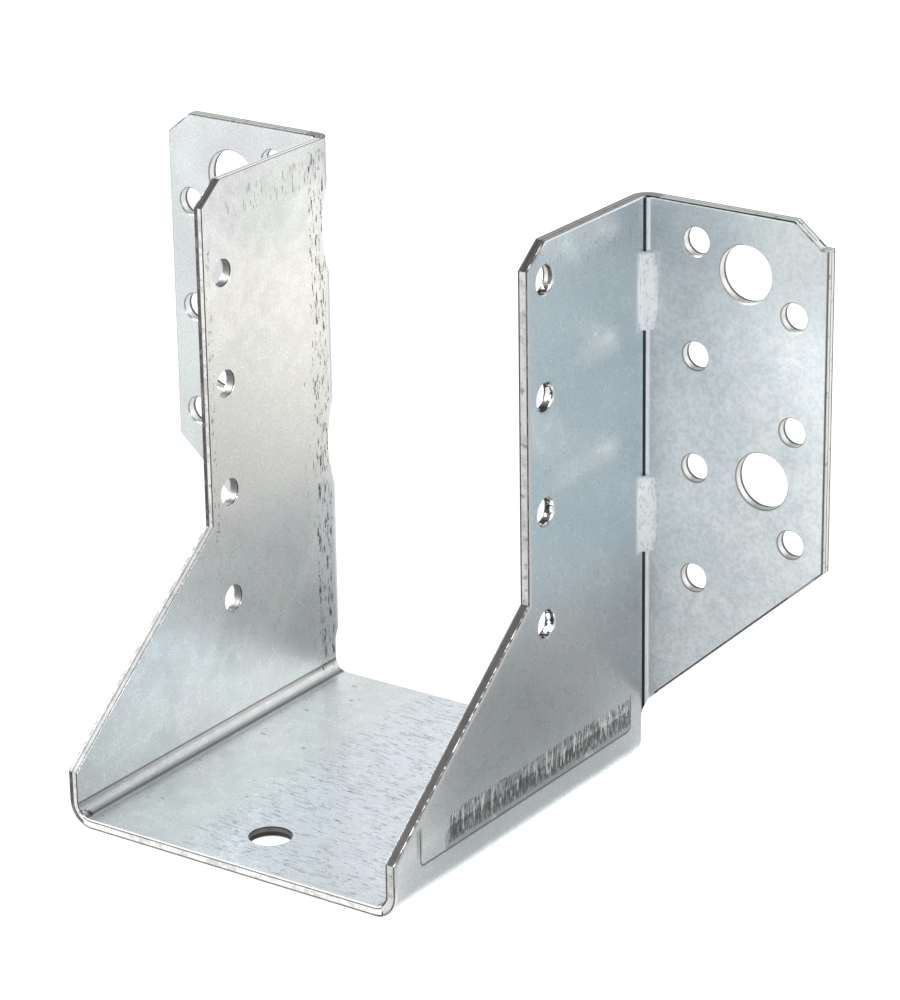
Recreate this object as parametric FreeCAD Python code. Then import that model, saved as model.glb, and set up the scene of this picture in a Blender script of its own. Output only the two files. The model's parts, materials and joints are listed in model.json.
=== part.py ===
"""Joist hanger: one sheet of galvanised steel, punched and folded.

Millimetres, Z up. X is the width of the joist, and Y runs from the joist to the
header. The header's face is the plane y = 0, the seat's underside is z = 0, and
the hanger is centred on x = 0.

The punch side of the sheet, with its rolled-over edges, is the seat's underside,
the flanks' outer faces and the flanges' front faces. The other side is crisp.
"""
import math
import os

import FreeCAD
import Part

Vector = FreeCAD.Vector

# Sheet and folds
sheet = 2.0
rollover = 0.5              # radius left on the punch side along the outline
seat_bend_radius = 2.5      # inside radius of the two folds along the seat
upright_bend_radius = 1.0   # inside radius of the folds between flank and flange

# Seat and flanks
joist_width = 64.0          # clear width between the flanks
height = 103.0              # seat underside to the top edges
seat_depth = 74.0
flank_reach = 37.4          # header face to the flanks' upright front edge
kink_height = 41.4          # where the front edge starts to slope down
front_end_height = 10.0     # where the slope ends, above the seat's front corner
flank_chamfer_depth = 5.2
flank_chamfer_height = 4.0

# Flanges
flange_reach = 67.4         # centre plane to a flange's outer edge
parting_ledge = 1.5         # what the sheet's parting leaves on the right flange's edge
lower_margin = 5.34         # a flange's lowest outer hole to its lower edge's start
slope_end_height = 12.0     # the lower edge's height where it meets the fold
flange_chamfer_width = 5.0
flange_chamfer_height = 4.0
notch_radius = 2.5          # fillet between the lower slope and the flank's back edge

# Holes
nail_hole = 5.0
bolt_hole = 10.0
seat_hole = 7.5
hole_lip = 0.2              # rolled over round each hole, on the punch side
nail_pitch = 20.0           # along every column of nail holes
top_row_drop = 6.5          # top edge to the first row
inner_column_offset = 9.8   # a flank's outer face to the flange's inner column
outer_column_inset = 4.8    # a flange's outer edge to its outer column
upper_bolt_inset = 14.1     # a flange's outer edge to each bolt hole, and the
upper_bolt_drop = 10.6      # top edge to the same
lower_bolt_inset = 10.5
lower_bolt_drop = 46.3
flank_edge_distance = 4.8   # a flank's front edge to its column of holes
seat_edge_distance = 11.5   # the seat's front edge to its hole
inner_column_holes = 4
outer_column_holes = 3
flank_holes = 4

# Pressed beads across the upright folds
bead_length = 14.0
bead_crown = 1.75           # height over the sharp inside corner, halfway along
bead_end = 1.2              # the same at its ends
bead_end_radius = 0.7
dent_length = 17.0

# Worked out from these
inner_face = joist_width / 2
outer_face = inner_face + sheet
fold_start = -(sheet + upright_bend_radius)
seat_front = fold_start - seat_depth
flank_front = -flank_reach
fold_end = outer_face + upright_bend_radius
fold_radius_out = upright_bend_radius + sheet
fold_length = math.pi / 2 * (upright_bend_radius + sheet / 2)
top_row_height = height - top_row_drop
second_row_height = top_row_height - nail_pitch / 2
lowest_outer_hole = second_row_height - (outer_column_holes - 1) * nail_pitch
lower_slope = (lowest_outer_hole - lower_margin - slope_end_height) / (flange_reach - fold_end)
inner_column = outer_face + inner_column_offset
outer_column = flange_reach - outer_column_inset
upper_bolt = (flange_reach - upper_bolt_inset, height - upper_bolt_drop)
lower_bolt = (flange_reach - lower_bolt_inset, height - lower_bolt_drop)
bead_heights = (second_row_height, second_row_height - 2 * nail_pitch)
diagonal = math.sqrt(0.5)
clearance = 1.0             # how far a cutting shape passes a face
near = 0.01                 # what counts as the same place
smooth = 0.9                # cosine between normals above which an edge is no corner


def wire_face(edges):
    """Returns the flat face inside a closed run of edges."""
    return Part.Face(Part.Wire(edges))


def polygon_face(points):
    """Returns the flat face inside a closed outline of straight lines."""
    return Part.Face(Part.makePolygon(points + [points[0]]))


def line(start, end):
    """Returns a straight edge."""
    return Part.LineSegment(start, end).toShape()


def arc(centre, radius, start_deg, end_deg, u, v):
    """Returns an arc in the plane of u and v, from one angle to the other."""
    def at(angle):
        turn = math.radians(angle)
        return centre + u * (radius * math.cos(turn)) + v * (radius * math.sin(turn))
    middle = (start_deg + end_deg) / 2
    return Part.Arc(at(start_deg), at(middle), at(end_deg)).toShape()


def channel():
    """Returns seat and flanks as one U-shaped channel, with its front and top square."""
    across, up = Vector(1, 0, 0), Vector(0, 0, 1)
    outer = seat_bend_radius + sheet
    bend_x = inner_face - seat_bend_radius

    def at(x, z):
        return Vector(x, fold_start, z)

    right, left = at(bend_x, outer), at(-bend_x, outer)
    edges = [
        line(at(inner_face, height), at(outer_face, height)),
        line(at(outer_face, height), at(outer_face, outer)),
        arc(right, outer, 0, -90, across, up),
        line(at(bend_x, 0), at(-bend_x, 0)),
        arc(left, outer, -90, -180, across, up),
        line(at(-outer_face, outer), at(-outer_face, height)),
        line(at(-outer_face, height), at(-inner_face, height)),
        line(at(-inner_face, height), at(-inner_face, outer)),
        arc(left, seat_bend_radius, 180, 270, across, up),
        line(at(-bend_x, sheet), at(bend_x, sheet)),
        arc(right, seat_bend_radius, 270, 360, across, up),
        line(at(inner_face, outer), at(inner_face, height)),
    ]
    return wire_face(edges).extrude(Vector(0, -seat_depth, 0))


def flank_outline():
    """Returns a block across the hanger that holds the flanks' outline."""
    corners = [
        (fold_start, -clearance),
        (fold_start, height),
        (flank_front + flank_chamfer_depth, height),
        (flank_front, height - flank_chamfer_height),
        (flank_front, kink_height),
        (seat_front, front_end_height),
        (seat_front, -clearance),
    ]
    side = -(outer_face + clearance)
    face = polygon_face([Vector(side, y, z) for y, z in corners])
    return face.extrude(Vector(-2 * side, 0, 0))


def flange_sheet(edge):
    """Returns the right upright fold and its flange, at full height, out to edge."""
    across, depth = Vector(1, 0, 0), Vector(0, 1, 0)
    centre = Vector(fold_end, fold_start, 0)

    def at(x, y):
        return Vector(x, y, 0)

    edges = [
        line(at(inner_face, fold_start), at(outer_face, fold_start)),
        arc(centre, upright_bend_radius, 180, 90, across, depth),
        line(at(fold_end, -sheet), at(edge, -sheet)),
        line(at(edge, -sheet), at(edge, 0)),
        line(at(edge, 0), at(fold_end, 0)),
        arc(centre, fold_radius_out, 90, 180, across, depth),
    ]
    return wire_face(edges).extrude(Vector(0, 0, height))


def flange_outline(edge):
    """Returns a block through the right flange that holds its outline."""
    chamfer_foot = height - flange_chamfer_height
    inner = inner_face - clearance
    corners = [
        (inner, height),
        (flange_reach - flange_chamfer_width, height),
        (flange_reach, chamfer_foot),
        (edge, chamfer_foot),
        (edge, slope_end_height + lower_slope * (edge - fold_end)),
        (fold_end, slope_end_height),
        (fold_end, -clearance),
        (inner, -clearance),
    ]
    if edge == flange_reach:
        corners.remove((flange_reach, chamfer_foot))
    face = polygon_face([Vector(x, fold_start - clearance, z) for x, z in corners])
    return face.extrude(Vector(0, -fold_start + 2 * clearance, 0))


def flange(ledge):
    """Returns the right flange with its fold, and a ledge below its chamfer."""
    edge = flange_reach + ledge
    return flange_sheet(edge).common(flange_outline(edge)).cut(notch())


def fold_edge_height(along):
    """Returns the cut edge's height at a distance along the fold from its start.

    In the flat sheet the flange's slope runs on as a straight line, and a fillet
    turns it down into the flank's back edge.
    """
    turn = math.atan2(1, lower_slope)
    fillet_width = notch_radius * (1 - math.cos(turn))
    if along >= fillet_width:
        return slope_end_height - lower_slope * (fold_length - along)
    fillet_top = slope_end_height - lower_slope * (fold_length - fillet_width)
    centre_height = fillet_top - notch_radius * math.sin(turn)
    return centre_height + math.sqrt(notch_radius ** 2 - (notch_radius - along) ** 2)


def notch():
    """Returns what is cut from the right fold, below the edge that crosses it."""
    steps = 12
    angles = [math.pi / 2 * k / steps for k in range(steps + 1)]
    curves = []
    for radius in (upright_bend_radius / 2, fold_radius_out + clearance):
        points = [Vector(fold_end - radius * math.cos(angle),
                         fold_start + radius * math.sin(angle),
                         fold_edge_height(angle / angles[-1] * fold_length))
                  for angle in angles]
        curve = Part.BSplineCurve()
        curve.interpolate(Points=points, Parameters=angles)
        curves.append(curve.toShape())
    top = Part.makeRuledSurface(curves[0], curves[1])
    return top.extrude(Vector(0, 0, -height))


def mirrored(shape):
    """Returns the same shape on the hanger's left side."""
    return shape.mirror(Vector(0, 0, 0), Vector(1, 0, 0))


def on_punch_side(point):
    """Tells whether a point is on the sheet's punch side."""
    x, y, z = abs(point.x), point.y, point.z
    if y > fold_start + near:
        reach = math.hypot(x - fold_end, y - fold_start)
        on_fold = abs(reach - upright_bend_radius) < near and x < fold_end + near
        return on_fold or abs(y + sheet) < near
    outer = seat_bend_radius + sheet
    from_bend = math.hypot(x - inner_face + seat_bend_radius, z - outer)
    on_bend = abs(from_bend - outer) < near and z < outer
    return on_bend or abs(x - outer_face) < near or abs(z) < near


def rollover_edges(solid):
    """Returns the edges where a cut face meets the sheet's punch side.

    The edges below the flanges, across each fold and down the back of flank and
    seat, are left crisp.
    """
    sides = {}
    for face in solid.Faces:
        for edge in face.Edges:
            sides.setdefault(edge.hashCode(), (edge, []))[1].append(face)
    found = []
    for edge, faces in sides.values():
        middle = edge.valueAt((edge.FirstParameter + edge.LastParameter) / 2)
        folded = middle.y > fold_start - near and abs(middle.x) < fold_end - near
        crisp = folded and middle.z < height - near
        if len(faces) != 2 or crisp or not on_punch_side(middle):
            continue
        normals = [face.normalAt(*face.Surface.parameter(middle)) for face in faces]
        if abs(normals[0].dot(normals[1])) < smooth:
            found.append(edge)
    return found


def bead(centre_height):
    """Returns the metal that one bead raises in the right inside corner."""
    out, up = Vector(diagonal, -diagonal, 0), Vector(0, 0, 1)
    along = Vector(diagonal, diagonal, 0)
    half = bead_length / 2
    root = -sheet / 2
    reach = bead_crown + sheet
    corner = Vector(outer_face, -sheet, centre_height) - along * reach

    def at(z, n):
        return corner + up * z + out * n

    crown = Part.Arc(at(-half, bead_end), at(0, bead_crown), at(half, bead_end))
    edges = [
        line(at(-half, root), at(-half, bead_end)),
        crown.toShape(),
        line(at(half, bead_end), at(half, root)),
        line(at(half, root), at(-half, root)),
    ]
    solid = wire_face(edges).extrude(along * (2 * reach))
    ends = [edge for edge in solid.Edges
            if abs(edge.Length - 2 * reach) < near
            and abs((edge.CenterOfMass - corner).dot(out) - bead_end) < near]
    solid = solid.makeFillet(bead_end_radius, ends)

    rooted = Part.makeBox(reach * 2, reach * 2, bead_length)
    rooted.translate(Vector(outer_face - sheet / 2, -sheet / 2 - reach * 2,
                            centre_height - half))
    return solid.common(rooted)


def dent(centre_height):
    """Returns what one bead takes from the fold's back."""
    out, up = Vector(diagonal, -diagonal, 0), Vector(0, 0, 1)
    along = Vector(diagonal, diagonal, 0)
    half = dent_length / 2
    back = fold_radius_out
    reach = 2 * back
    corner = Vector(outer_face, -sheet, centre_height) - along * reach
    surface = upright_bend_radius / diagonal - upright_bend_radius - sheet
    bottom = bead_crown - sheet

    def at(z, n):
        return corner + up * z + out * n

    floor = Part.Arc(at(-half, surface), at(0, bottom), at(half, surface))
    edges = [
        floor.toShape(),
        line(at(half, surface), at(half, surface - back)),
        line(at(half, surface - back), at(-half, surface - back)),
        line(at(-half, surface - back), at(-half, surface)),
    ]
    return wire_face(edges).extrude(along * (2 * reach))


def punch(diameter, place, inward):
    """Returns the shape of one punched hole, entered at place and going inward."""
    radius = diameter / 2
    axis = Vector(0, 0, 1)
    start = Vector(0, 0, -clearance)
    lip = clearance + hole_lip
    hole = Part.makeCylinder(radius, sheet + 2 * clearance, start)
    tool = hole.fuse(Part.makeCone(radius + lip, radius, lip, start))
    tool.Placement = FreeCAD.Placement(place, FreeCAD.Rotation(axis, inward))
    return tool


def column(top, count):
    """Returns the heights of a column of nail holes, from the top one down."""
    return [top - k * nail_pitch for k in range(count)]


def flange_holes():
    """Returns the punched holes of the right flange."""
    inward = Vector(0, 1, 0)
    nails = [(inner_column, z) for z in column(top_row_height, inner_column_holes)]
    nails += [(outer_column, z) for z in column(second_row_height, outer_column_holes)]
    tools = [punch(nail_hole, Vector(x, -sheet, z), inward) for x, z in nails]
    tools += [punch(bolt_hole, Vector(x, -sheet, z), inward) for x, z in (upper_bolt, lower_bolt)]
    return tools


def flank_hole_tools(side, top):
    """Returns one flank's column of nail holes; side is 1 on the right, -1 on the left."""
    y = flank_front + flank_edge_distance
    inward = Vector(-side, 0, 0)
    return [punch(nail_hole, Vector(side * outer_face, y, z), inward)
            for z in column(top, flank_holes)]


def hanger():
    """Returns the finished hanger."""
    flanges = [flange(parting_ledge), mirrored(flange(0))]
    body = channel().common(flank_outline())
    body = body.fuse(flanges).removeSplitter().Solids[0]
    body = body.makeFillet(rollover, rollover_edges(body))

    beads = [bead(z) for z in bead_heights]
    dents = [dent(z) for z in bead_heights]
    body = body.fuse(beads + [mirrored(one) for one in beads])
    body = body.cut(dents + [mirrored(one) for one in dents])

    tools = flange_holes()
    tools += [mirrored(tool) for tool in tools]
    tools += flank_hole_tools(1, top_row_height)
    tools += flank_hole_tools(-1, second_row_height)
    seat_place = Vector(0, seat_front + seat_edge_distance, 0)
    tools.append(punch(seat_hole, seat_place, Vector(0, 0, 1)))
    return body.cut(tools)


os.makedirs("parts", exist_ok=True)
joist_hanger = hanger()
# The origin is halfway from the header's face to the seat's front edge.
joist_hanger.translate(Vector(0, -seat_front / 2, 0))
joist_hanger.exportStep("parts/joist_hanger.step")
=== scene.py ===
"""A joist hanger of galvanised steel, dressed and set in a plain studio.

The hanger is one folded sheet. Its form comes from the frame; this file gives
it its zinc surface, its sheared edges and the marks of the press, with painted
shade, highlights and reflections laid over them, and adds the floor, the
lights and the camera.
"""

import json
import logging
import math
from dataclasses import dataclass
from enum import Enum

import bmesh
import bpy
from mathutils import Matrix, Vector

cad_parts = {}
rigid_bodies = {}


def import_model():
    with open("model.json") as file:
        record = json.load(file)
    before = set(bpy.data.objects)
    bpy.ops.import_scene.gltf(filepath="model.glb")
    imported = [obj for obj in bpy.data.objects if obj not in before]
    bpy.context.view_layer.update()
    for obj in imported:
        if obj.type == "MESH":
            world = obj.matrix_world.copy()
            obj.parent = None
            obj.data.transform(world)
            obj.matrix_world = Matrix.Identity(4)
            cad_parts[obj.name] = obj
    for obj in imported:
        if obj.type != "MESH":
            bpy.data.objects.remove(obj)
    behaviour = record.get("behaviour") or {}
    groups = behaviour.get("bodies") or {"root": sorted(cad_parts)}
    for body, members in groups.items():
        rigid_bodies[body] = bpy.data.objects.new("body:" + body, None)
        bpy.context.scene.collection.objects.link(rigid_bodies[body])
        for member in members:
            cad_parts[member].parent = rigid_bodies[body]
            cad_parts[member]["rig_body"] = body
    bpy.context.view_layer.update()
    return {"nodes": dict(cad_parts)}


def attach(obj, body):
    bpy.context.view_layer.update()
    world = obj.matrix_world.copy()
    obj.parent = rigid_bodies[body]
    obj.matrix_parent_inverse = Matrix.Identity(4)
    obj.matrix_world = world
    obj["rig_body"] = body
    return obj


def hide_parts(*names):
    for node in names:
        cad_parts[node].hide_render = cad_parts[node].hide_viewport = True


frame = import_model()
log = logging.getLogger("joist_hanger")

Place = tuple[float, float, float]
Shade = tuple[float, float, float, float]
Socket = bpy.types.NodeSocket
Value = Socket | float | Place | Shade

MM = 0.001
FLOAT = "NodeSocketFloat"
VECTOR = "NodeSocketVector"
UPRIGHT = (1.0, 1.0, 0.0)
ALONG_SEAT = (1.0, 0.0, 1.0)
CRISP = (0.1, 0.1, 0.1)
BEAD_HEIGHTS = (86.5, 46.5)


class Blend(Enum):
    """How a local mark is laid over the tone below it."""

    OVER = "MIX"
    DARKEN = "MULTIPLY"


@dataclass(frozen=True)
class Band:
    """A mask's four depths: it rises over the first two and falls over the others."""

    start: float
    full: float
    fade: float
    end: float


# Depths are shares of the sheet's thickness: 0 on the punch side, 1 on the other.
EDGE_BANDS = {
    "Rolled": Band(0.002, 0.03, 0.13, 0.18),
    "Sheared": Band(0.10, 0.15, 0.985, 0.995),
    "Seam": Band(0.40, 0.445, 0.50, 0.55),
    "Lip": Band(0.72, 0.76, 0.82, 0.86),
    "Glint": Band(0.10, 0.14, 0.24, 0.29),
    "Burr": Band(0.84, 0.88, 0.985, 0.995),
}
EDGE_STEPS = {"Light band": (0.42, 0.48), "Wide band": (0.24, 0.29)}


def grey(value: float) -> Shade:
    """Returns a neutral colour."""
    return (value, value, value, 1.0)


def in_mm(*lengths: float) -> Place:
    """Returns a vector in metres from one in millimetres."""
    return tuple(length * MM for length in lengths)


@dataclass(frozen=True)
class Zone:
    """A soft-sided box on the hanger, in millimetres of the row's frame."""

    low: Place
    high: Place
    soft: Place


@dataclass(frozen=True)
class Tint:
    """A tone laid softly over one zone."""

    zone: Zone
    shade: Shade
    strength: float


@dataclass(frozen=True)
class Strokes:
    """Short strokes in one zone: how fine they are along each axis, and how many."""

    zone: Zone
    stretch: Place
    threshold: float
    strength: float
    shade: Shade = (0.06, 0.06, 0.06, 1.0)
    turn: Place = (0.0, 0.0, 0.0)


@dataclass(frozen=True)
class FoldShading:
    """A painted line along the folds, darker for shade and paler for highlight: which axes it is
    measured in, where, and its tone.
    """

    axes: Place
    centre: Place
    reach: float
    strength: float
    shade: Shade


class Board:
    """Adds shader nodes to one node tree and joins them."""

    def __init__(self, tree: bpy.types.NodeTree) -> None:
        """Keeps the tree that the nodes go into."""
        self.tree = tree

    def node(self, kind: str, **settings: object) -> bpy.types.Node:
        """Adds a node.

        Args:
            kind: The node's type name.
            settings: Its properties, by name.

        Returns:
            The new node.
        """
        made = self.tree.nodes.new(kind)
        for name, value in settings.items():
            setattr(made, name, value)
        return made

    def feed(self, socket: Socket, value: Value) -> None:
        """Links another socket into this one, or sets its own value.

        Args:
            socket: The input to feed.
            value: The socket to link from, or the value to set.
        """
        if isinstance(value, bpy.types.NodeSocket):
            self.tree.links.new(value, socket)
        else:
            socket.default_value = value

    def filled(self, made: bpy.types.Node, *values: Value) -> bpy.types.Node:
        """Feeds a node's first inputs in order.

        Args:
            made: The node.
            values: A value or socket for each of its first inputs.

        Returns:
            The same node.
        """
        for socket, value in zip(made.inputs, values):
            self.feed(socket, value)
        return made

    def maths(self, operation: str, *values: Value) -> Socket:
        """Returns the result of a Math node that isn't clamped."""
        return self.filled(self.node("ShaderNodeMath", operation=operation), *values).outputs[0]

    def clamped(self, operation: str, *values: Value) -> Socket:
        """Returns the result of a Math node that is kept between 0 and 1."""
        made = self.node("ShaderNodeMath", operation=operation, use_clamp=True)
        return self.filled(made, *values).outputs[0]

    def times(self, first: Value, second: Value) -> Socket:
        """Returns the product of two masks."""
        return self.clamped("MULTIPLY", first, second)

    def plus(self, first: Value, second: Value) -> Socket:
        """Returns the sum of two masks, at most 1."""
        return self.clamped("ADD", first, second)

    def minus(self, first: Value, second: Value) -> Socket:
        """Returns the first mask less the second, at least 0."""
        return self.clamped("SUBTRACT", first, second)

    def vector_maths(self, operation: str, *values: Value) -> bpy.types.Node:
        """Returns a fed Vector Math node, for its Vector or Value output."""
        return self.filled(self.node("ShaderNodeVectorMath", operation=operation), *values)

    def split(self, vector: Value) -> bpy.types.NodeOutputs:
        """Returns a vector's three numbers as sockets."""
        return self.filled(self.node("ShaderNodeSeparateXYZ"), vector).outputs

    def spread(self, value: Value, low: Value, high: Value,
               to_low: float = 0.0, to_high: float = 1.0) -> Socket:
        """Maps a value from one span to another, eased at both ends.

        Args:
            value: The value or socket to map.
            low: Where the span starts.
            high: Where the span ends.
            to_low: The result at the start.
            to_high: The result at the end.

        Returns:
            The mapped value's socket.
        """
        made = self.node("ShaderNodeMapRange", interpolation_type="SMOOTHSTEP", clamp=True)
        return self.filled(made, value, low, high, to_low, to_high).outputs[0]

    def noise(self, vector: Value, size_mm: float, detail: float, roughness: float,
              distortion: float = 0.0) -> Socket:
        """Adds a noise.

        Args:
            vector: The coordinates.
            size_mm: About how wide its features are.
            detail: How many finer layers it has.
            roughness: How strong the finer layers are.
            distortion: How far it is warped.

        Returns:
            The noise's value, from 0 to 1.
        """
        made = self.node("ShaderNodeTexNoise")
        self.feed(made.inputs["Vector"], vector)
        self.feed(made.inputs["Scale"], 1 / (size_mm * MM))
        self.feed(made.inputs["Detail"], detail)
        self.feed(made.inputs["Roughness"], roughness)
        self.feed(made.inputs["Distortion"], distortion)
        return made.outputs[0]

    def colour(self, factor: Value, below: Value, above: Value,
               blend: Blend = Blend.OVER) -> Socket:
        """Lays one colour over another by a mask.

        Args:
            factor: The mask.
            below: The colour below.
            above: The colour on top.
            blend: How it is laid on.

        Returns:
            The resulting colour.
        """
        made = self.node("ShaderNodeMix", data_type="RGBA", blend_type=blend.value)
        self.feed(made.inputs[0], factor)
        self.feed(made.inputs[6], below)
        self.feed(made.inputs[7], above)
        return made.outputs[2]

    def group(self, tree: bpy.types.NodeTree, **values: Value) -> bpy.types.Node:
        """Places a node group.

        Args:
            tree: The group's tree.
            values: A value or socket for each input, by its name.

        Returns:
            The group's node.
        """
        made = self.node("ShaderNodeGroup", node_tree=tree)
        for name, value in values.items():
            self.feed(made.inputs[name], value)
        return made


def new_group(name: str, inputs: dict[str, str],
              outputs: dict[str, str]) -> tuple[Board, bpy.types.NodeOutputs, bpy.types.NodeInputs]:
    """Starts a shader node group.

    Args:
        name: The group's name.
        inputs: Socket type by input name.
        outputs: Socket type by output name.

    Returns:
        The group's board, the sockets that it is given and those that it gives.
    """
    tree = bpy.data.node_groups.new(name, "ShaderNodeTree")
    for label, kind in inputs.items():
        tree.interface.new_socket(label, in_out="INPUT", socket_type=kind)
    for label, kind in outputs.items():
        tree.interface.new_socket(label, in_out="OUTPUT", socket_type=kind)
    board = Board(tree)
    return board, board.node("NodeGroupInput").outputs, board.node("NodeGroupOutput").inputs


def zone_group() -> bpy.types.NodeTree:
    """Makes a group that masks a soft-sided box, given its corners.

    Returns:
        The group's tree.
    """
    inputs = {"Vector": VECTOR, "Low": VECTOR, "High": VECTOR, "Softness": VECTOR}
    board, given, out = new_group("soft zone", inputs, {"Mask": FLOAT})
    place, low, high, soft = (board.split(given[label]) for label in inputs)
    mask: Value = 1.0
    for axis in range(3):
        start = board.maths("SUBTRACT", low[axis], soft[axis])
        end = board.maths("ADD", high[axis], soft[axis])
        rise = board.spread(place[axis], start, low[axis])
        fall = board.spread(place[axis], high[axis], end, 1.0, 0.0)
        mask = board.times(mask, board.times(rise, fall))
    board.feed(out["Mask"], mask)
    return board.tree


def zinc_group() -> bpy.types.NodeTree:
    """Makes a group with the cloudy, mottled and grainy tone of dipped zinc.

    Returns:
        The group's tree.
    """
    labels = ("Clouds", "Tint", "Mottle", "Grain", "Height")
    board, given, out = new_group("dipped zinc", {"Vector": VECTOR}, dict.fromkeys(labels, FLOAT))
    place = given["Vector"]
    clouds = board.noise(place, size_mm=19.0, detail=2.0, roughness=0.5, distortion=0.5)
    tint = board.noise(place, size_mm=11.0, detail=1.0, roughness=0.5, distortion=0.8)
    mottle = board.noise(place, size_mm=3.0, detail=3.0, roughness=0.6, distortion=0.3)
    grain = board.noise(place, size_mm=0.5, detail=2.0, roughness=0.65)
    mottle_to_grain = 1.1
    board.feed(out["Clouds"], board.spread(clouds, 0.32, 0.68))
    board.feed(out["Tint"], board.spread(tint, 0.35, 0.65))
    board.feed(out["Mottle"], board.spread(mottle, 0.28, 0.72))
    board.feed(out["Grain"], board.spread(grain, 0.25, 0.75))
    board.feed(out["Height"], board.maths("MULTIPLY_ADD", mottle, mottle_to_grain, grain))
    return board.tree


def edge_group() -> bpy.types.NodeTree:
    """Makes a group that tells the bands of a sheared edge from its depth.

    Returns:
        The group's tree.
    """
    board, given, out = new_group("sheared edge", {"Through": FLOAT},
                                  dict.fromkeys((*EDGE_BANDS, *EDGE_STEPS), FLOAT))
    depth = given["Through"]
    for label, band in EDGE_BANDS.items():
        rise = board.spread(depth, band.start, band.full)
        fall = board.spread(depth, band.fade, band.end, 1.0, 0.0)
        board.feed(out[label], board.times(rise, fall))
    for label, (start, full) in EDGE_STEPS.items():
        board.feed(out[label], board.spread(depth, start, full))
    return board.tree


def stroke_group() -> bpy.types.NodeTree:
    """Makes a group of short strokes, drawn out by the stretch of its input.

    Returns:
        The group's tree.
    """
    board, given, out = new_group(
        "drawn strokes", {"Vector": VECTOR, "Turn": VECTOR, "Stretch": VECTOR, "Threshold": FLOAT},
        {"Mask": FLOAT})
    turned = board.node("ShaderNodeVectorRotate", rotation_type="EULER_XYZ")
    board.feed(turned.inputs["Vector"], given["Vector"])
    board.feed(turned.inputs["Rotation"], given["Turn"])
    drawn = board.vector_maths("MULTIPLY", turned.outputs[0], given["Stretch"])
    # A metre wide, so that the stretch alone sets how fine the strokes are.
    lines = board.noise(drawn.outputs[0], size_mm=1000.0, detail=3.0, roughness=0.62)
    softness = 0.06
    end = board.maths("ADD", given["Threshold"], softness)
    board.feed(out["Mask"], board.spread(lines, given["Threshold"], end))
    return board.tree


def fold_shading_group() -> bpy.types.NodeTree:
    """Makes a group that masks a thin line along both sides' folds, for painted shade and
    highlight.

    Its centre's first number is a distance from the middle plane, and the other
    is the depth for an upright fold or the height for a fold of the seat.

    Returns:
        The group's tree.
    """
    board, given, out = new_group(
        "fold shading line", {"Vector": VECTOR, "Axes": VECTOR, "Centre": VECTOR, "Reach": FLOAT},
        {"Mask": FLOAT})
    across, along, height = board.split(given["Vector"])
    folded = board.filled(board.node("ShaderNodeCombineXYZ"),
                          board.maths("ABSOLUTE", across), along, height)
    picked = board.vector_maths("MULTIPLY", folded.outputs[0], given["Axes"])
    away = board.vector_maths("DISTANCE", picked.outputs[0], given["Centre"])
    core_share = 0.55
    core = board.maths("MULTIPLY", given["Reach"], core_share)
    board.feed(out["Mask"], board.spread(away.outputs["Value"], core, given["Reach"], 1.0, 0.0))
    return board.tree


def outline_group() -> bpy.types.NodeTree:
    """Makes a group that masks the outline of a rounded box pressed in a flank.

    Returns:
        The group's tree.
    """
    board, given, out = new_group(
        "pressed outline",
        {"Vector": VECTOR, "Centre": VECTOR, "Half": VECTOR, "Radius": FLOAT, "Width": FLOAT},
        {"Mask": FLOAT})
    offset = board.vector_maths("SUBTRACT", given["Vector"], given["Centre"])
    folded = board.vector_maths("ABSOLUTE", offset.outputs[0])
    past = board.vector_maths("SUBTRACT", folded.outputs[0], given["Half"])
    outside = board.vector_maths("MAXIMUM", past.outputs[0], (0.0, 0.0, 0.0))
    reach = board.vector_maths("LENGTH", outside.outputs[0]).outputs["Value"]
    sides = board.split(past.outputs[0])
    inside = board.maths("MINIMUM", board.maths("MAXIMUM", sides[1], sides[2]), 0.0)
    distance = board.maths("SUBTRACT", board.maths("ADD", reach, inside), given["Radius"])
    away = board.maths("ABSOLUTE", distance)
    board.feed(out["Mask"], board.spread(away, 0.0, given["Width"], 1.0, 0.0))
    return board.tree


class Surface(Board):
    """The sheet's material board, with its coordinates and its soft zones."""

    def __init__(self, tree: bpy.types.NodeTree) -> None:
        """Keeps the tree, the Object coordinates and the zones' group.

        Args:
            tree: The tree that the nodes go into.
        """
        super().__init__(tree)
        self.place = self.node("ShaderNodeTexCoord").outputs["Object"]
        self.zones = zone_group()

    def attribute(self, name: str) -> Socket:
        """Returns one of the mesh's own numbers."""
        return self.node("ShaderNodeAttribute", attribute_name=name).outputs["Fac"]

    def zone(self, zone: Zone) -> Socket:
        """Returns one zone's mask."""
        made = self.group(self.zones, Vector=self.place, Low=in_mm(*zone.low),
                          High=in_mm(*zone.high), Softness=in_mm(*zone.soft))
        return made.outputs["Mask"]

    def any_zone(self, *zones: Zone) -> Socket:
        """Returns the mask of several zones together.

        Args:
            zones: The zones.

        Returns:
            Their masks' sum, at most 1.
        """
        mask: Value = 0.0
        for zone in zones:
            mask = self.plus(mask, self.zone(zone))
        return mask


@dataclass(frozen=True)
class EdgePlaces:
    """Masks of the places whose sheared edges look different."""

    slanting: Socket
    lying: Socket
    flange: Socket
    pierced: Socket
    left: Socket
    low_left: Socket
    right: Socket
    seat: Socket
    elsewhere: Socket


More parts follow.
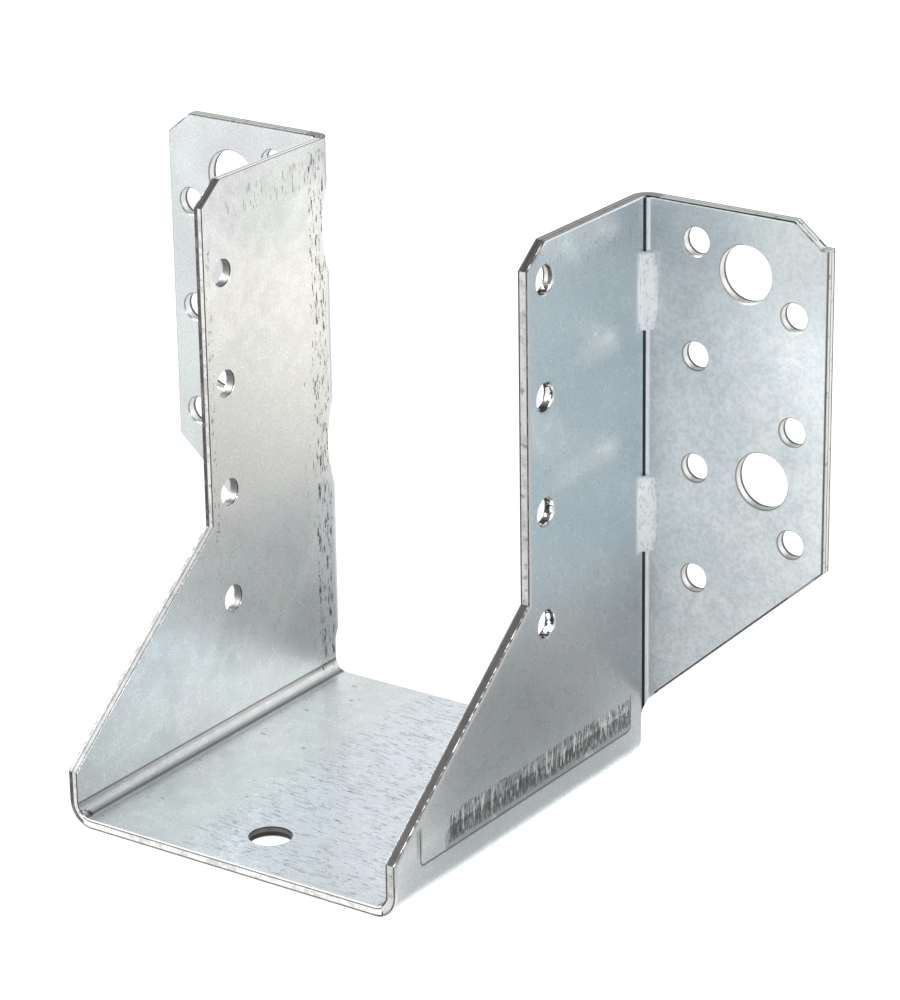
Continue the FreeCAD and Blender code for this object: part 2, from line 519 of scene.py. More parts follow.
@dataclass(frozen=True)
class GalvanisedSteel:
    """The finish of the whole sheet, with its painted shade, highlights and reflections; colours
    are linear.
    """

    dark: Shade = (0.69, 0.72, 0.735, 1.0)
    pale: Shade = (0.80, 0.835, 0.845, 1.0)
    green: Shade = (0.975, 1.0, 0.98, 1.0)
    violet: Shade = (1.0, 0.98, 1.0, 1.0)
    # Whiter zinc where it is frosted; also a painted highlight on the right flank's bottom bend.
    frost_and_bend_sheen: Shade = (0.93, 0.96, 0.97, 1.0)
    worn: Shade = (0.82, 0.88, 0.90, 1.0)
    # Painted cool reflection on the right flank's upper outer face.
    cool_reflection: Shade = (0.635, 0.74, 0.815, 1.0)
    # Painted warm reflection on the left flank's upper inner face.
    warm_reflection: Shade = (0.845, 0.835, 0.80, 1.0)
    # Painted shade low on the right flank's outer face.
    low: Shade = (0.50, 0.53, 0.545, 1.0)
    rolled: Shade = (0.62, 0.63, 0.63, 1.0)
    # The dark band of the cut fronts; also painted shade on the rolled edges low on the left flank,
    # along the seat's front edge and low on the right flange.
    dark_band_and_shade: Shade = (0.10, 0.097, 0.094, 1.0)
    front_light: Shade = (0.78, 0.78, 0.76, 1.0)
    right_light: Shade = (0.62, 0.62, 0.61, 1.0)
    front_stain: Shade = (0.36, 0.34, 0.33, 1.0)
    seat_brown: Shade = (0.125, 0.11, 0.10, 1.0)
    pressed_end: Shade = (0.36, 0.39, 0.35, 1.0)
    # Painted sheen in pale streaks across the right flank.
    sheen_streak: Shade = (0.88, 0.94, 0.96, 1.0)
    # Painted reflections on the seat: the sky, bluish, and the left flank, greenish.
    seat_sky_reflection: Shade = (0.775, 0.825, 0.885, 1.0)
    seat_flank_reflection: Shade = (0.765, 0.805, 0.775, 1.0)
    # Lit and shaded copies of the slanting cut faces: the lit one low on the left flank, the shaded
    # one elsewhere.
    slant_shaded: Shade = (0.045, 0.043, 0.042, 1.0)
    slant_lit: Shade = (0.20, 0.20, 0.197, 1.0)
    top_brown: Shade = (0.33, 0.31, 0.305, 1.0)
    # Painted highlight on the left flank's top cut faces, the right flank's hole walls and the line
    # along the seat's front edge.
    highlight_white: Shade = (0.85, 0.85, 0.84, 1.0)
    flange_top: Shade = (0.56, 0.59, 0.56, 1.0)
    flange_edge: Shade = (0.90, 0.90, 0.89, 1.0)
    flange_lip: Shade = (0.20, 0.20, 0.20, 1.0)
    # Painted shade that dims the flanges' rolled top lips, darker on the right flange.
    right_top_lip_shade: Shade = (0.012, 0.012, 0.012, 1.0)
    left_top_lip_shade: Shade = (0.028, 0.027, 0.027, 1.0)
    pierced_lip: Shade = (0.40, 0.40, 0.40, 1.0)
    pierced_burr: Shade = (0.015, 0.015, 0.015, 1.0)
    burr: Shade = (0.07, 0.07, 0.07, 1.0)
    # Dark flecks on the cut faces and blotches on the right flank's hole walls; also painted shade
    # in the seat's hole.
    hole_shade_and_fleck: Shade = (0.045, 0.045, 0.045, 1.0)
    # Painted shade on the left flank's hole walls.
    left_wall_shade: Shade = (0.22, 0.22, 0.217, 1.0)
    imprint: Shade = (0.07, 0.07, 0.07, 1.0)
    imprint_strength: float = 0.85
    metallic: float = 1.0
    roughness: float = 0.29
    smoother: float = 0.03
    rougher: float = 0.04
    rougher_frost: float = 0.38
    rougher_cut: float = 0.20
    rougher_bend: float = 0.40
    bump_strength: float = 0.20
    bump_distance: float = 0.00012
    imprint_height: float = -2.5

    def tints(self) -> list[Tint]:
        """Lists the tones laid on the faces, mostly painted shade, sheen and reflections, from
        below to above.

        Returns:
            A tint for each zone.
        """
        # Painted cool reflection on the right flank's upper outer face.
        right_upper = Zone((33.2, -10.0, 46.0), (34.6, 38.0, 104.0), (0.5, 12.0, 16.0))
        # Painted shade on the right flank's lower outer face.
        right_lower = Zone((33.2, -18.0, 8.0), (34.6, 33.0, 26.0), (0.5, 16.0, 22.0))
        # Painted sheen in three pale streaks across the right flank.
        sheen_streak_middle = Zone((33.2, 19.0, 79.6), (34.6, 25.0, 80.8), (0.5, 6.0, 2.6))
        sheen_streak_low = Zone((33.2, 12.0, 60.6), (34.6, 25.0, 61.8), (0.5, 6.0, 2.6))
        sheen_streak_top = Zone((33.2, 20.0, 98.6), (34.6, 26.0, 99.8), (0.5, 4.0, 1.8))
        # Painted reflections on the seat: the sky on its right, the left flank on its left.
        seat_right = Zone((-7.0, -34.0, 1.5), (29.0, 38.0, 2.4), (13.0, 12.0, 0.3))
        seat_left = Zone((-29.0, -38.0, 1.5), (-14.0, 30.0, 2.4), (12.0, 9.0, 0.3))
        imprint_end = Zone((33.4, -32.4, 9.6), (34.6, -31.1, 13.6), (0.3, 0.3, 0.8))
        # Painted shade just above the right flank's bottom bend.
        right_foot = Zone((33.0, -33.0, 5.2), (34.8, 34.0, 7.8), (0.4, 6.0, 3.4))
        # Painted warm reflection on the left flank's upper inner face.
        left_upper = Zone((-33.0, 0.0, 46.0), (-31.0, 36.0, 82.0), (0.5, 6.0, 12.0))
        return [
            Tint(right_upper, self.cool_reflection, 0.75),
            Tint(right_lower, self.low, 0.85),
            Tint(sheen_streak_middle, self.sheen_streak, 0.55),
            Tint(sheen_streak_low, self.sheen_streak, 0.50),
            Tint(sheen_streak_top, self.sheen_streak, 0.40),
            Tint(seat_right, self.seat_sky_reflection, 0.75),
            Tint(seat_left, self.seat_flank_reflection, 0.6),
            Tint(imprint_end, self.pressed_end, 0.6),
            Tint(right_foot, self.low, 0.6),
            Tint(left_upper, self.warm_reflection, 0.60),
        ]

    def strokes(self) -> list[Strokes]:
        """Lists the press's and the handling's marks, from below to above.

        Returns:
            The strokes, zone by zone.
        """
        left_fold = Zone((-32.6, 31.4, 4.0), (-31.6, 35.0, 101.0), (0.3, 1.8, 2.0))
        left_top = Zone((-32.6, 9.0, 96.0), (-31.6, 35.0, 100.0), (0.3, 6.0, 1.8))
        left_low = Zone((-32.6, 29.0, 6.0), (-31.6, 34.0, 60.0), (0.3, 4.0, 6.0))
        left_front = Zone((-32.6, 1.6, 30.0), (-31.6, 2.6, 90.0), (0.3, 0.6, 5.0))
        left_corner = Zone((-33.0, -39.0, 1.5), (-30.2, -36.9, 2.9), (0.5, 0.9, 0.7))
        seat = Zone((-8.0, -34.0, 1.5), (30.0, 38.0, 2.6), (16.0, 12.0, 0.3))
        seat_all = Zone((-29.0, -38.0, 1.5), (30.0, 38.0, 2.6), (0.5, 1.0, 0.3))
        seat_front = Zone((6.0, -36.0, 1.5), (28.0, -22.0, 2.6), (6.0, 2.0, 0.3))
        beads = [Zone((33.6, 34.4, height - 7.0), (36.6, 37.0, height + 7.0), (0.4, 0.4, 0.3))
                 for height in BEAD_HEIGHTS]
        right_top = Zone((33.5, 0.0, 96.0), (34.5, 34.0, 102.5), (0.3, 2.0, 2.0))
        right_face = Zone((33.5, 0.0, 20.0), (34.5, 34.0, 98.0), (0.3, 2.0, 9.0))
        bottom = Zone((33.4, -24.0, 7.8), (34.6, 31.4, 10.6), (0.3, 2.0, 1.0))
        galled = Zone((33.4, -23.0, 8.6), (34.6, 31.4, 10.9), (0.3, 1.5, 1.0))
        ragged = Zone((33.4, -22.5, 9.8), (34.6, 31.4, 12.6), (0.3, 1.5, 2.6))
        faces = Zone((-32.6, -38.0, 2.0), (69.0, 38.0, 99.0), (0.3, 1.0, 1.0))
        return [
            Strokes(left_fold, (300.0, 2200.0, 480.0), 0.555, 0.90),
            Strokes(left_top, (300.0, 2400.0, 420.0), 0.575, 0.65),
            Strokes(left_low, (300.0, 1900.0, 330.0), 0.63, 0.60),
            Strokes(left_front, (300.0, 1900.0, 900.0), 0.57, 0.60),
            Strokes(left_corner, (900.0, 760.0, 1100.0), 0.49, 0.88),
            Strokes(seat, (360.0, 2100.0, 1700.0), 0.55, 0.34, grey(0.10), (0.0, 0.0, 0.07)),
            Strokes(seat, (620.0, 1700.0, 1500.0), 0.63, 0.75),
            Strokes(seat_all, (380.0, 1200.0, 1300.0), 0.665, 0.70),
            Strokes(seat_front, (45.0, 3200.0, 900.0), 0.69, 0.45, grey(0.2), (0.0, 0.0, -0.62)),
            *(Strokes(bead, (2900.0, 2900.0, 900.0), 0.54, 0.30, grey(0.30)) for bead in beads),
            Strokes(right_top, (300.0, 1500.0, 500.0), 0.62, 0.4),
            Strokes(right_face, (300.0, 1300.0, 700.0), 0.71, 0.45, grey(0.2)),
            Strokes(bottom, (200.0, 420.0, 260.0), 0.36, 0.42, grey(0.10)),
            Strokes(galled, (200.0, 2300.0, 520.0), 0.44, 0.62, grey(0.05)),
            Strokes(ragged, (200.0, 430.0, 330.0), 0.47, 0.42, grey(0.10)),
            Strokes(ragged, (200.0, 2100.0, 430.0), 0.50, 0.72, grey(0.05), (0.10, 0.0, 0.0)),
            Strokes(ragged, (200.0, 1300.0, 240.0), 0.57, 0.62, grey(0.92), (0.12, 0.0, 0.0)),
            Strokes(faces, (1100.0, 1100.0, 1100.0), 0.745, 0.55, grey(0.12)),
        ]

    def fold_shadings(self) -> list[FoldShading]:
        """Lists the lines of painted shade and highlight along the folds.

        Returns:
            The lines, from below to above.
        """
        return [
            # Painted shade in the upright folds' hollows, and a painted highlight line beside it.
            FoldShading(UPRIGHT, (34.14, 35.94, 0.0), 0.40, 0.95, grey(0.01)),
            FoldShading(UPRIGHT, (34.80, 36.42, 0.0), 0.24, 0.80, grey(0.99)),
            # Painted shade along the seat's folds.
            FoldShading(ALONG_SEAT, (31.30, 0.0, 2.80), 2.0, 0.58, grey(0.33)),
            FoldShading(ALONG_SEAT, (30.45, 0.0, 2.2), 0.36, 0.55, grey(0.07)),
            FoldShading(ALONG_SEAT, (31.98, 0.0, 4.3), 0.24, 0.70, grey(0.10)),
        ]

    def mark(self, board: Surface, tone: Value) -> Socket:
        """Lays every fold's painted shade and highlight lines and every zone's strokes over the
        tone.

        Args:
            board: The material's board.
            tone: The colour below.

        Returns:
            The marked colour.
        """
        drawn, lined = stroke_group(), fold_shading_group()
        # Painted shade and highlight lines along the folds.
        for fold_shading in self.fold_shadings():
            line = board.group(lined, Vector=board.place, Axes=fold_shading.axes,
                               Centre=in_mm(*fold_shading.centre), Reach=fold_shading.reach * MM)
            amount = board.times(line.outputs["Mask"], fold_shading.strength)
            tone = board.colour(amount, tone, fold_shading.shade)
        never = 0.95
        for strokes in self.strokes():
            limit = board.spread(board.zone(strokes.zone), 0.0, 1.0, never, strokes.threshold)
            lines = board.group(drawn, Vector=board.place, Turn=strokes.turn,
                                Stretch=strokes.stretch, Threshold=limit)
            amount = board.times(lines.outputs["Mask"], strokes.strength)
            tone = board.colour(amount, tone, strokes.shade)
        return tone

    def pressed(self, board: Surface) -> Socket:
        """Masks the outline that the press left low on the right flank.

        Args:
            board: The material's board.

        Returns:
            The mask.
        """
        outline = board.group(outline_group(), Vector=board.place, Centre=in_mm(34.0, 0.2, 17.0),
                              Half=in_mm(5.0, 30.7, 8.7), Radius=1.0 * MM, Width=0.32 * MM)
        reach = Zone((33.4, -33.0, 0.0), (34.6, 33.0, 12.6), (0.3, 1.0, 2.2))
        return board.times(outline.outputs["Mask"], board.zone(reach))

    def frost(self, board: Surface, zinc: bpy.types.Node) -> Socket:
        """Tells how white and rough the zinc is, on the beads and the flanges' fronts.

        Args:
            board: The material's board.
            zinc: The dipped zinc group.

        Returns:
            The mask.
        """
        spotted = board.spread(zinc.outputs["Grain"], 0.1, 0.9, 0.70, 1.0)
        frost = board.any_zone(*(
            Zone((low, 34.5, height - 6.7), (high, 37.2, height + 6.7), (1.6, 1.4, 0.7))
            for low, high in ((33.2, 36.0), (-36.0, -33.2)) for height in BEAD_HEIGHTS))
        lower_front = Zone((36.0, 36.2, 5.0), (69.5, 36.8, 74.0), (4.0, 0.3, 24.0))
        whole_front = Zone((36.0, 36.2, 5.0), (69.5, 36.8, 104.0), (4.0, 0.3, 1.0))
        for face, strength in ((lower_front, 1.0), (whole_front, 0.16)):
            amount = board.times(board.zone(face), strength)
            frost = board.plus(frost, board.times(amount, spotted))
        return frost

    def edge_places(self, board: Surface) -> EdgePlaces:
        """Masks the places whose sheared edges look different.

        Args:
            board: The material's board.

        Returns:
            The masks, by name.
        """
        upward = board.attribute("upward")
        top = 104.0
        flange = board.any_zone(Zone((36.6, 30.0, -1.0), (71.0, 40.0, top), CRISP),
                                Zone((-71.0, 30.0, -1.0), (-36.6, 40.0, top), CRISP))
        pierced = board.any_zone(Zone((38.0, 34.0, 31.0), (67.2, 40.0, 100.0), CRISP),
                                 Zone((-67.2, 34.0, 31.0), (-38.0, 40.0, 100.0), CRISP))
        seat = board.zone(Zone((-31.0, -40.0, -1.0), (31.0, -37.0, 3.0), CRISP))
        return EdgePlaces(
            slanting=board.spread(upward, 0.3, 0.5),
            lying=board.spread(upward, 0.85, 0.95),
            flange=flange,
            pierced=pierced,
            left=board.zone(Zone((-34.8, -40.0, -1.0), (-31.4, 35.4, top), CRISP)),
            low_left=board.zone(Zone((-34.8, -40.0, 4.6), (-31.4, 2.0, 80.0), CRISP)),
            right=board.zone(Zone((31.4, -40.0, -1.0), (35.0, 2.0, top), CRISP)),
            seat=seat,
            elsewhere=board.minus(0.85, board.plus(seat, pierced)),
        )

    def cut_tone(self, board: Surface, edge: bpy.types.Node, at: EdgePlaces) -> Socket:
        """Tones the sheared faces of the outline: fronts, slants and tops.

        Args:
            board: The material's board.
            edge: The sheared edge group.
            at: The masks of the places.

        Returns:
            The sheared faces' colour.
        """
        bands = edge.outputs
        light = board.plus(bands["Light band"], board.times(at.right, bands["Wide band"]))
        front = board.colour(light, board.colour(at.seat, self.dark_band_and_shade, self.front_light),
                             board.colour(at.right, self.front_light, self.right_light))
        blotches = board.noise(board.place, size_mm=1.9, detail=3.0, roughness=0.7)
        front = board.colour(board.spread(blotches, 0.46, 0.62, 0.0, 0.48), front, self.front_stain)
        front = board.colour(at.flange, front, self.flange_edge)
        # Lit and shaded copies of the slanting cut faces: the lit one low on the left flank, the
        # shaded one elsewhere.
        slant = board.colour(at.low_left, self.slant_shaded, self.slant_lit)
        slant = board.colour(at.flange, slant, self.flange_edge)
        # Painted highlight on the left flank's top cut faces.
        top = board.colour(at.left, self.top_brown, self.highlight_white)
        top = board.colour(at.flange, top, self.flange_top)
        cut = board.colour(at.lying, board.colour(at.slanting, front, slant), top)
        seam = board.times(bands["Seam"], board.minus(at.elsewhere, at.right))
        cut = board.colour(seam, cut, self.burr)
        cut = board.colour(board.times(bands["Lip"], board.times(at.seat, 0.95)), cut, self.burr)
        under = board.times(bands["Glint"], board.times(at.seat, 0.9))
        return board.colour(under, cut, self.seat_brown)

    def wall_tone(self, board: Surface, edge: bpy.types.Node, at: EdgePlaces,
                  cut: Socket) -> Socket:
        """Tones the holes' walls and breaks the slanting edges up with glints.

        Args:
            board: The material's board.
            edge: The sheared edge group.
            at: The masks of the places.
            cut: The sheared faces' colour.

        Returns:
            The colour with the walls and glints.
        """
        right_walls = board.zone(Zone((31.8, 3.0, 0.0), (34.2, 8.8, 95.0), CRISP))
        left_walls = board.zone(Zone((-34.2, 3.0, 0.0), (-31.8, 8.8, 95.0), CRISP))
        seat_hole = board.zone(Zone((-4.3, -31.3, -0.2), (4.3, -22.7, 2.2), CRISP))
        blotch = board.noise(board.place, size_mm=1.3, detail=2.0, roughness=0.6)
        # Painted highlight on the right flank's hole walls, painted shade on the left flank's.
        cut = board.colour(right_walls, cut, self.highlight_white)
        cut = board.colour(left_walls, cut, self.left_wall_shade)
        dark = board.times(right_walls, board.spread(blotch, 0.40, 0.48))
        flecks = board.times(board.spread(blotch, 0.60, 0.68, 0.0, 0.5), at.elsewhere)
        cut = board.colour(board.plus(dark, flecks), cut, self.hole_shade_and_fleck)
        # Painted shade in the seat's hole.
        cut = board.colour(board.times(seat_hole, 0.8), cut, self.hole_shade_and_fleck)
        glint = board.times(board.times(edge.outputs["Glint"], at.slanting),
                            board.spread(blotch, 0.44, 0.62, 0.08, 0.66))
        return board.colour(board.times(glint, board.minus(1.0, at.lying)), cut, self.flange_edge)

    def rolled_tone(self, board: Surface, at: EdgePlaces) -> Socket:
        """Tones the edge that is rolled over on the punch side.

        Args:
            board: The material's board.
            at: The masks of the places.

        Returns:
            The rolled edge's colour.
        """
        # Painted shade on the rolled edges low on the left flank, along the seat's front edge and
        # low on the right flange.
        shaded = board.plus(at.low_left, at.seat)
        for low, high, top_of in ((36.0, 52.0, 26.0), (52.0, 68.3, 36.8)):
            beneath = Zone((low, 34.0, -1.0), (high, 40.0, top_of), CRISP)
            shaded = board.plus(shaded, board.zone(beneath))
        rolled = board.colour(at.flange, self.rolled, self.flange_lip)
        # Painted shade on the flanges' rolled top lips, darker on the right.
        for low, high, shade in ((34.2, 62.6, self.right_top_lip_shade),
                                 (-62.6, -34.2, self.left_top_lip_shade)):
            crown = Zone((low, 34.4, 102.2), (high, 40.0, 104.0), CRISP)
            rolled = board.colour(board.zone(crown), rolled, shade)
        rolled = board.colour(at.pierced, rolled, self.pierced_lip)
        return board.colour(shaded, rolled, self.dark_band_and_shade)

    def edges(self, board: Surface, edge: bpy.types.Node, tone: Socket) -> Socket:
        """Lays the sheared edges' bands over the tone.

        Args:
            board: The material's board.
            edge: The sheared edge group.
            tone: The colour below.

        Returns:
            The colour with its edges.
        """
        at = self.edge_places(board)
        bands = edge.outputs
        cut = self.wall_tone(board, edge, at, self.cut_tone(board, edge, at))
        tone = board.colour(bands["Rolled"], tone, self.rolled_tone(board, at))
        tone = board.colour(bands["Sheared"], tone, cut)
        tone = board.colour(board.times(bands["Lip"], at.pierced), tone, self.pierced_burr)
        burr = board.colour(at.pierced, self.burr, self.pierced_burr)
        # Painted highlight along the seat's front edge, where the burr band lies.
        return board.colour(bands["Burr"], tone, board.colour(at.seat, burr, self.highlight_white))

    def zinc_tone(self, board: Surface, zinc: bpy.types.Node, bend: Socket,
                  frost: Socket) -> Socket:
        """Tones the zinc: its clouds, tints, grain and frost, the worn right flange, and the
        painted shade, sheen, reflections and bend highlight.

        Args:
            board: The material's board.
            zinc: The dipped zinc group.
            bend: The mask of the right flank's bottom bend, where a highlight is painted.
            frost: The mask of the white and rough zinc.

        Returns:
            The zinc's colour, without marks and edges.
        """
        tone = board.colour(zinc.outputs["Clouds"], self.dark, self.pale)
        cast = board.colour(zinc.outputs["Tint"], self.green, self.violet)
        tone = board.colour(1.0, tone, cast, Blend.DARKEN)
        # Mostly painted shade, sheen and reflections.
        for tint in self.tints():
            amount = board.times(board.zone(tint.zone), tint.strength)
            tone = board.colour(amount, tone, tint.shade)
        for mask, strength, shade in ((zinc.outputs["Mottle"], 0.16, grey(0.84)),
                                      (zinc.outputs["Grain"], 0.75, grey(0.80))):
            tone = board.colour(board.times(mask, strength), tone, shade, Blend.DARKEN)
        # Painted highlight on the right flank's bottom bend.
        tone = board.colour(bend, tone, self.frost_and_bend_sheen)
        tone = board.colour(frost, tone, self.frost_and_bend_sheen)
        patchy = board.times(frost, zinc.outputs["Mottle"])
        front = board.zone(Zone((35.5, 36.2, 0.0), (70.0, 36.8, 104.0), (1.0, 0.3, 1.0)))
        broad = board.noise(board.place, size_mm=8.0, detail=3.0, roughness=0.65)
        fine = board.noise(board.place, size_mm=0.75, detail=3.0, roughness=0.75)
        worn = board.times(board.spread(broad, 0.38, 0.62), front)
        specks = board.times(board.spread(fine, 0.40, 0.64), front)
        for mask, strength, shade in ((patchy, 0.25, grey(0.80)), (worn, 0.45, self.worn),
                                      (specks, 0.55, grey(0.80))):
            tone = board.colour(board.times(mask, strength), tone, shade, Blend.DARKEN)
        return tone

    def material(self) -> bpy.types.Material:
        """Makes the zinc-coated steel material.

        Returns:
            The material.
        """
        made = bpy.data.materials.new("galvanised_steel")
        made.use_nodes = True
        made.node_tree.nodes.clear()
        board = Surface(made.node_tree)
        zinc = board.group(zinc_group(), Vector=board.place)
        edge = board.group(edge_group(), Through=board.attribute("through"))
        # The right flank's bottom bend, where a highlight is painted and the zinc is rougher.
        bend = board.zone(Zone((29.6, -38.4, -0.1), (34.4, 34.4, 0.6), (0.6, 0.4, 1.3)))
        frost = self.frost(board, zinc)
        pressed = self.pressed(board)

        tone = self.mark(board, self.zinc_tone(board, zinc, bend, frost))
        tone = board.colour(board.times(pressed, self.imprint_strength), tone, self.imprint)
        tone = self.edges(board, edge, tone)

        height = board.maths("MULTIPLY_ADD", pressed, self.imprint_height, zinc.outputs["Height"])
        bump = board.node("ShaderNodeBump")
        board.feed(bump.inputs["Strength"], self.bump_strength)
        board.feed(bump.inputs["Distance"], self.bump_distance)
        board.feed(bump.inputs["Height"], height)

        rough = board.spread(zinc.outputs["Mottle"], 0.0, 1.0,
                             self.roughness - self.smoother, self.roughness + self.rougher)
        for mask, added in ((frost, self.rougher_frost),
                            (edge.outputs["Sheared"], self.rougher_cut),
                            (bend, self.rougher_bend)):
            rough = board.plus(rough, board.times(mask, added))

        shader = board.node("ShaderNodeBsdfPrincipled")
        board.feed(shader.inputs["Base Color"], tone)
        board.feed(shader.inputs["Metallic"], self.metallic)
        board.feed(shader.inputs["Roughness"], rough)
        board.feed(shader.inputs["Normal"], bump.outputs["Normal"])
        out = board.node("ShaderNodeOutputMaterial")
        board.feed(out.inputs["Surface"], shader.outputs[0])
        return made


@dataclass
class Hanger:
    """The folded sheet: seat, two flanks and two flanges; sizes in millimetres."""

    sheet: float = 2.0
    inner_face: float = 32.0
    seat_bend_radius: float = 2.5
    upright_bend_radius: float = 1.0
    header_plane: float = 38.5
    bead_heights: tuple[float, float] = BEAD_HEIGHTS
    dent_half_length: float = 8.6
    sharp_angle: float = 35.0
    near: float = 0.001
    sliver: float = 0.0005

    def through(self, point: Vector) -> float:
        """Tells how deep in the sheet's thickness a point lies.

        Args:
            point: A point on the mesh, in metres.

        Returns:
            0 on the punch side of the sheet, 1 on its other side.
        """
        x, y, z = abs(point.x) / MM, point.y / MM - self.header_plane, point.z / MM
        outer_face = self.inner_face + self.sheet
        fold_start = -(self.sheet + self.upright_bend_radius)
        fold_end = outer_face + self.upright_bend_radius
        outer = self.seat_bend_radius + self.sheet
        bend_x = self.inner_face - self.seat_bend_radius
        inward = (x - outer_face) - (y + self.sheet)
        past_start = y > fold_start + self.near
        by_dent = any(abs(z - centre) < self.dent_half_length for centre in self.bead_heights)
        if inward < 0 and by_dent and y > fold_start - self.sheet:
            return 1.0
        if past_start and x < fold_end:
            depth = math.hypot(x - fold_end, y - fold_start) - self.upright_bend_radius
        elif past_start:
            depth = y + self.sheet
        elif z > outer:
            depth = outer_face - x
        elif x > bend_x:
            depth = outer - math.hypot(x - bend_x, z - outer)
        else:
            depth = z
        return min(max(depth / self.sheet, 0.0), 1.0)

    def skin(self, node: bpy.types.Object) -> bpy.types.Object:
        """Copies and merges the frame's solid, and marks its corners and depths.

        Args:
            node: The frame's object.

        Returns:
            The new object, at the origin.
        """
        mesh = bpy.data.meshes.new("hanger_sheet")
        work = bmesh.new()
        work.from_mesh(node.data)
        bmesh.ops.remove_doubles(work, verts=work.verts[:], dist=self.near * MM)
        bmesh.ops.dissolve_degenerate(work, edges=work.edges[:], dist=self.sliver * MM)
        limit = math.radians(self.sharp_angle)
        for edge in work.edges:
            edge.smooth = len(edge.link_faces) == 2 and edge.calc_face_angle(0.0) < limit
        for face in work.faces:
            face.smooth = True
            face.material_index = 0
        work.normal_update()
        layer = work.verts.layers.float.new("through")
        for vert in work.verts:
            vert[layer] = self.through(vert.co)
        facing = work.loops.layers.float.new("upward")
        for face in work.faces:
            for loop in face.loops:
                loop[facing] = max(face.normal.z, 0.0)
        work.to_mesh(mesh)
        work.free()
        made = bpy.data.objects.new("hanger_sheet", mesh)
        bpy.context.scene.collection.objects.link(made)
        return made

    def build(self, finish: GalvanisedSteel) -> bpy.types.Object:
        """Builds the dressed sheet and puts it in place of the frame's solid.

        Args:
            finish: The sheet's finish.

        Returns:
            The dressed object.
        """
        node = frame["nodes"]["joist_hanger"]
        made = self.skin(node)
        made.data.materials.clear()
        made.data.materials.append(finish.material())
        steady = made.modifiers.new("even shading", "WEIGHTED_NORMAL")
        steady.keep_sharp = True
        steady.mode = "FACE_AREA"
        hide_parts("joist_hanger")
        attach(made, node["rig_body"])
        return made


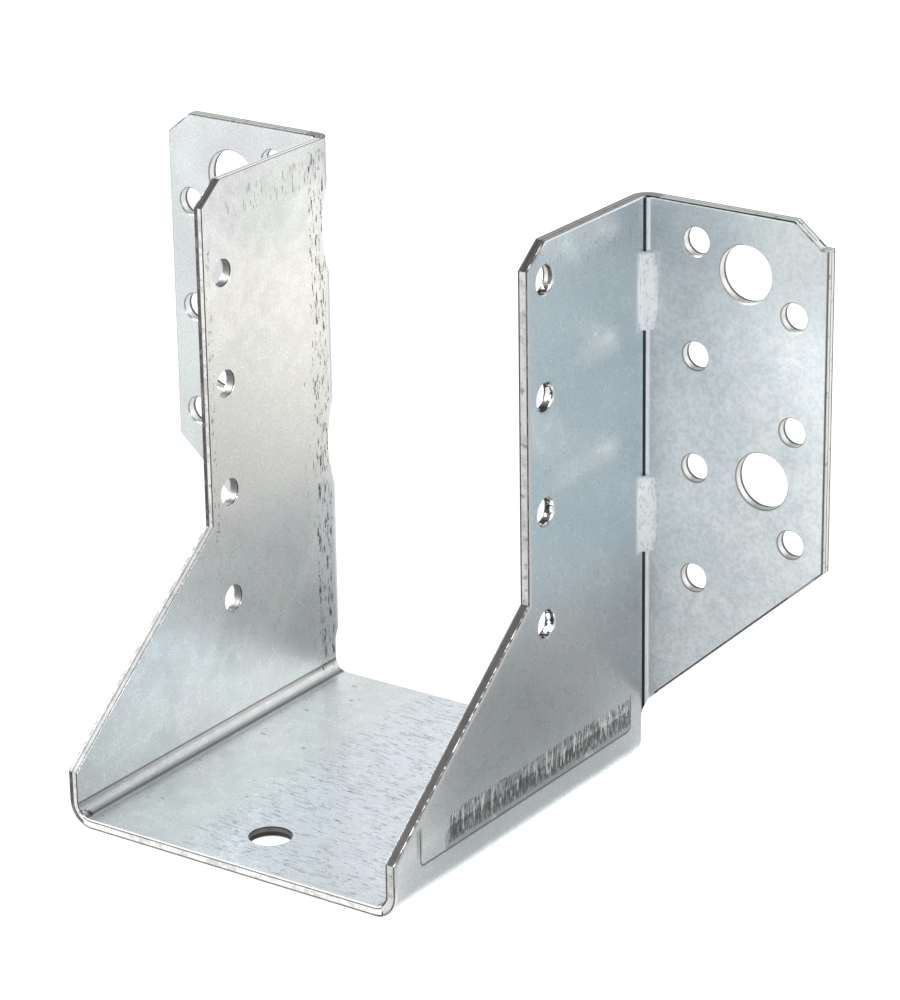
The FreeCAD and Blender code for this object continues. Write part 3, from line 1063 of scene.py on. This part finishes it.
@dataclass
class Studio:
    """Floor, lights and camera; sizes in metres, angles in degrees."""

    azimuth: float = 34.93
    elevation: float = 21.06
    roll: float = -0.89
    distance: float = 0.67039
    aim: Place = (0.0, 0.0035, 0.045)
    shift_right: float = 0.01346
    shift_up: float = 0.00669
    sensor_width: float = 36.0
    focal_length: float = 142.37
    white: float = 1.15
    room_light: float = 0.6
    room_tone: Shade = (0.96, 0.98, 1.0, 1.0)
    floor_tone: Shade = (0.62, 0.62, 0.61, 1.0)
    floor_half: float = 6.0
    floor_height: float = -0.0004

    def camera(self) -> bpy.types.Object:
        """Sets the camera at the picture's angle.

        Returns:
            The camera.
        """
        turn, tilt, roll = (math.radians(a) for a in (self.azimuth, self.elevation, self.roll))
        ahead = Vector((-math.sin(turn) * math.cos(tilt), math.cos(turn) * math.cos(tilt),
                        -math.sin(tilt)))
        right = Vector((math.cos(turn), math.sin(turn), 0.0))
        up = right.cross(ahead)
        aim = Vector(self.aim) + right * self.shift_right + up * self.shift_up
        place = aim - ahead * self.distance
        across = right * math.cos(roll) + up * math.sin(roll)
        upward = up * math.cos(roll) - right * math.sin(roll)
        data = bpy.data.cameras.new("camera")
        data.sensor_fit = "AUTO"
        data.sensor_width = self.sensor_width
        data.lens = self.focal_length
        data.clip_start = 0.01
        data.clip_end = 100.0
        made = bpy.data.objects.new("camera", data)
        bpy.context.scene.collection.objects.link(made)
        turned = Matrix((across, upward, -ahead)).transposed().to_4x4()
        made.matrix_world = Matrix.Translation(place) @ turned
        bpy.context.scene.camera = made
        return made

    def lamp(self, name: str, place: Place, aim: Place, size: tuple[float, float], glow: float,
             colour: Place = (1.0, 1.0, 1.0)) -> bpy.types.Object:
        """Adds a soft light, a flat box or card that the camera doesn't see.

        Args:
            name: The light's name.
            place: Where it hangs.
            aim: What it faces.
            size: Its width and height.
            glow: How bright its face is; the white background is 1.
            colour: Its colour.

        Returns:
            The light.
        """
        data = bpy.data.lights.new(name, "AREA")
        data.shape = "RECTANGLE"
        data.size, data.size_y = size
        data.energy = glow * math.pi * size[0] * size[1]
        data.color = colour
        made = bpy.data.objects.new(name, data)
        bpy.context.scene.collection.objects.link(made)
        made.visible_camera = False
        made.location = place
        made.rotation_euler = (Vector(aim) - Vector(place)).to_track_quat("-Z", "Y").to_euler()
        return made

    def floor(self) -> bpy.types.Object:
        """Lays the plain pale floor under the hanger.

        Returns:
            The floor.
        """
        mesh = bpy.data.meshes.new("studio_floor")
        work = bmesh.new()
        bmesh.ops.create_grid(work, x_segments=1, y_segments=1, size=self.floor_half)
        bmesh.ops.translate(work, verts=work.verts[:], vec=Vector((0.0, 0.0, self.floor_height)))
        work.to_mesh(mesh)
        work.free()
        made = bpy.data.objects.new("studio_floor", mesh)
        bpy.context.scene.collection.objects.link(made)
        paint = bpy.data.materials.new("pale_floor")
        paint.use_nodes = True
        paint.node_tree.nodes.clear()
        board = Board(paint.node_tree)
        matt = board.node("ShaderNodeBsdfDiffuse")
        board.feed(matt.inputs["Color"], self.floor_tone)
        glow = board.node("ShaderNodeEmission")
        board.feed(glow.inputs["Strength"], self.white)
        self.show(board, matt, glow, "ShaderNodeOutputMaterial")
        mesh.materials.append(paint)
        return made

    def world(self) -> None:
        """Lights the room evenly, and shows it white behind the hanger."""
        world = bpy.data.worlds.new("studio_room")
        bpy.context.scene.world = world
        world.use_nodes = True
        world.node_tree.nodes.clear()
        board = Board(world.node_tree)
        room = board.node("ShaderNodeBackground")
        board.feed(room.inputs["Color"], self.room_tone)
        board.feed(room.inputs["Strength"], self.room_light)
        behind = board.node("ShaderNodeBackground")
        board.feed(behind.inputs["Color"], grey(1.0))
        board.feed(behind.inputs["Strength"], self.white)
        self.show(board, room, behind, "ShaderNodeOutputWorld")

    def show(self, board: Board, lit: bpy.types.Node, seen: bpy.types.Node, kind: str) -> None:
        """Gives the camera one shader and every other ray another.

        Args:
            board: The board of the material or the world.
            lit: The shader for reflections and light.
            seen: The shader that the camera sees.
            kind: The output node's type name.
        """
        by_camera = board.node("ShaderNodeLightPath").outputs["Is Camera Ray"]
        mix = board.filled(board.node("ShaderNodeMixShader"),
                           by_camera, lit.outputs[0], seen.outputs[0])
        board.feed(board.node(kind).inputs["Surface"], mix.outputs[0])

    def build(self) -> None:
        """Sets the floor, the lights and the camera."""
        self.floor()
        self.world()
        middle = (0.0, 0.0, 0.05)
        above = (0.0, 0.0, 0.25)
        self.lamp("key", (-1.25, -0.95, 1.35), middle, size=(0.9, 0.9), glow=21.0)
        self.lamp("sky_behind_left", (-0.95, 1.45, 0.75), above, size=(1.5, 1.1), glow=0.48)
        self.lamp("sky_behind_right", (0.95, 1.45, 0.75), above, size=(1.5, 1.1), glow=0.95)
        self.lamp("fill_front_left", (-0.9, -1.5, 0.55), middle, size=(1.2, 0.7), glow=1.15)
        self.lamp("card_behind", (0.09, 0.17, 0.03), (0.09, 0.0, 0.03),
                  size=(0.17, 0.06), glow=0.55, colour=(1.0, 0.92, 0.80))
        self.lamp("card_below", (0.005, -0.002, -0.0002), (0.005, -0.002, 1.0),
                  size=(0.088, 0.086), glow=0.48)
        self.lamp("card_below_back", (0.040, 0.056, -0.0002), (0.040, 0.056, 1.0),
                  size=(0.020, 0.030), glow=0.48)
        self.lamp("card_under_bend", (0.032, 0.001, -0.0001), (0.032, 0.001, 1.0),
                  size=(0.006, 0.076), glow=0.40)
        self.lamp("card_corner", (0.0353, 0.002, 0.038), (1.0, 0.002, 0.038),
                  size=(0.062, 0.062), glow=0.22)
        self.lamp("fill_right", (0.9, -0.6, 0.35), middle, size=(0.8, 0.5), glow=0.95)
        bpy.context.scene.view_settings.view_transform = "Standard"
        self.camera()


def main() -> None:
    """Builds the hanger and the studio."""
    logging.basicConfig(level=logging.INFO, format="%(message)s")
    sheet = Hanger().build(GalvanisedSteel())
    log.info("sheet: %d faces", len(sheet.data.polygons))
    Studio().build()
    log.info("studio: floor, lights and camera")


if __name__ == "__main__":
    main()
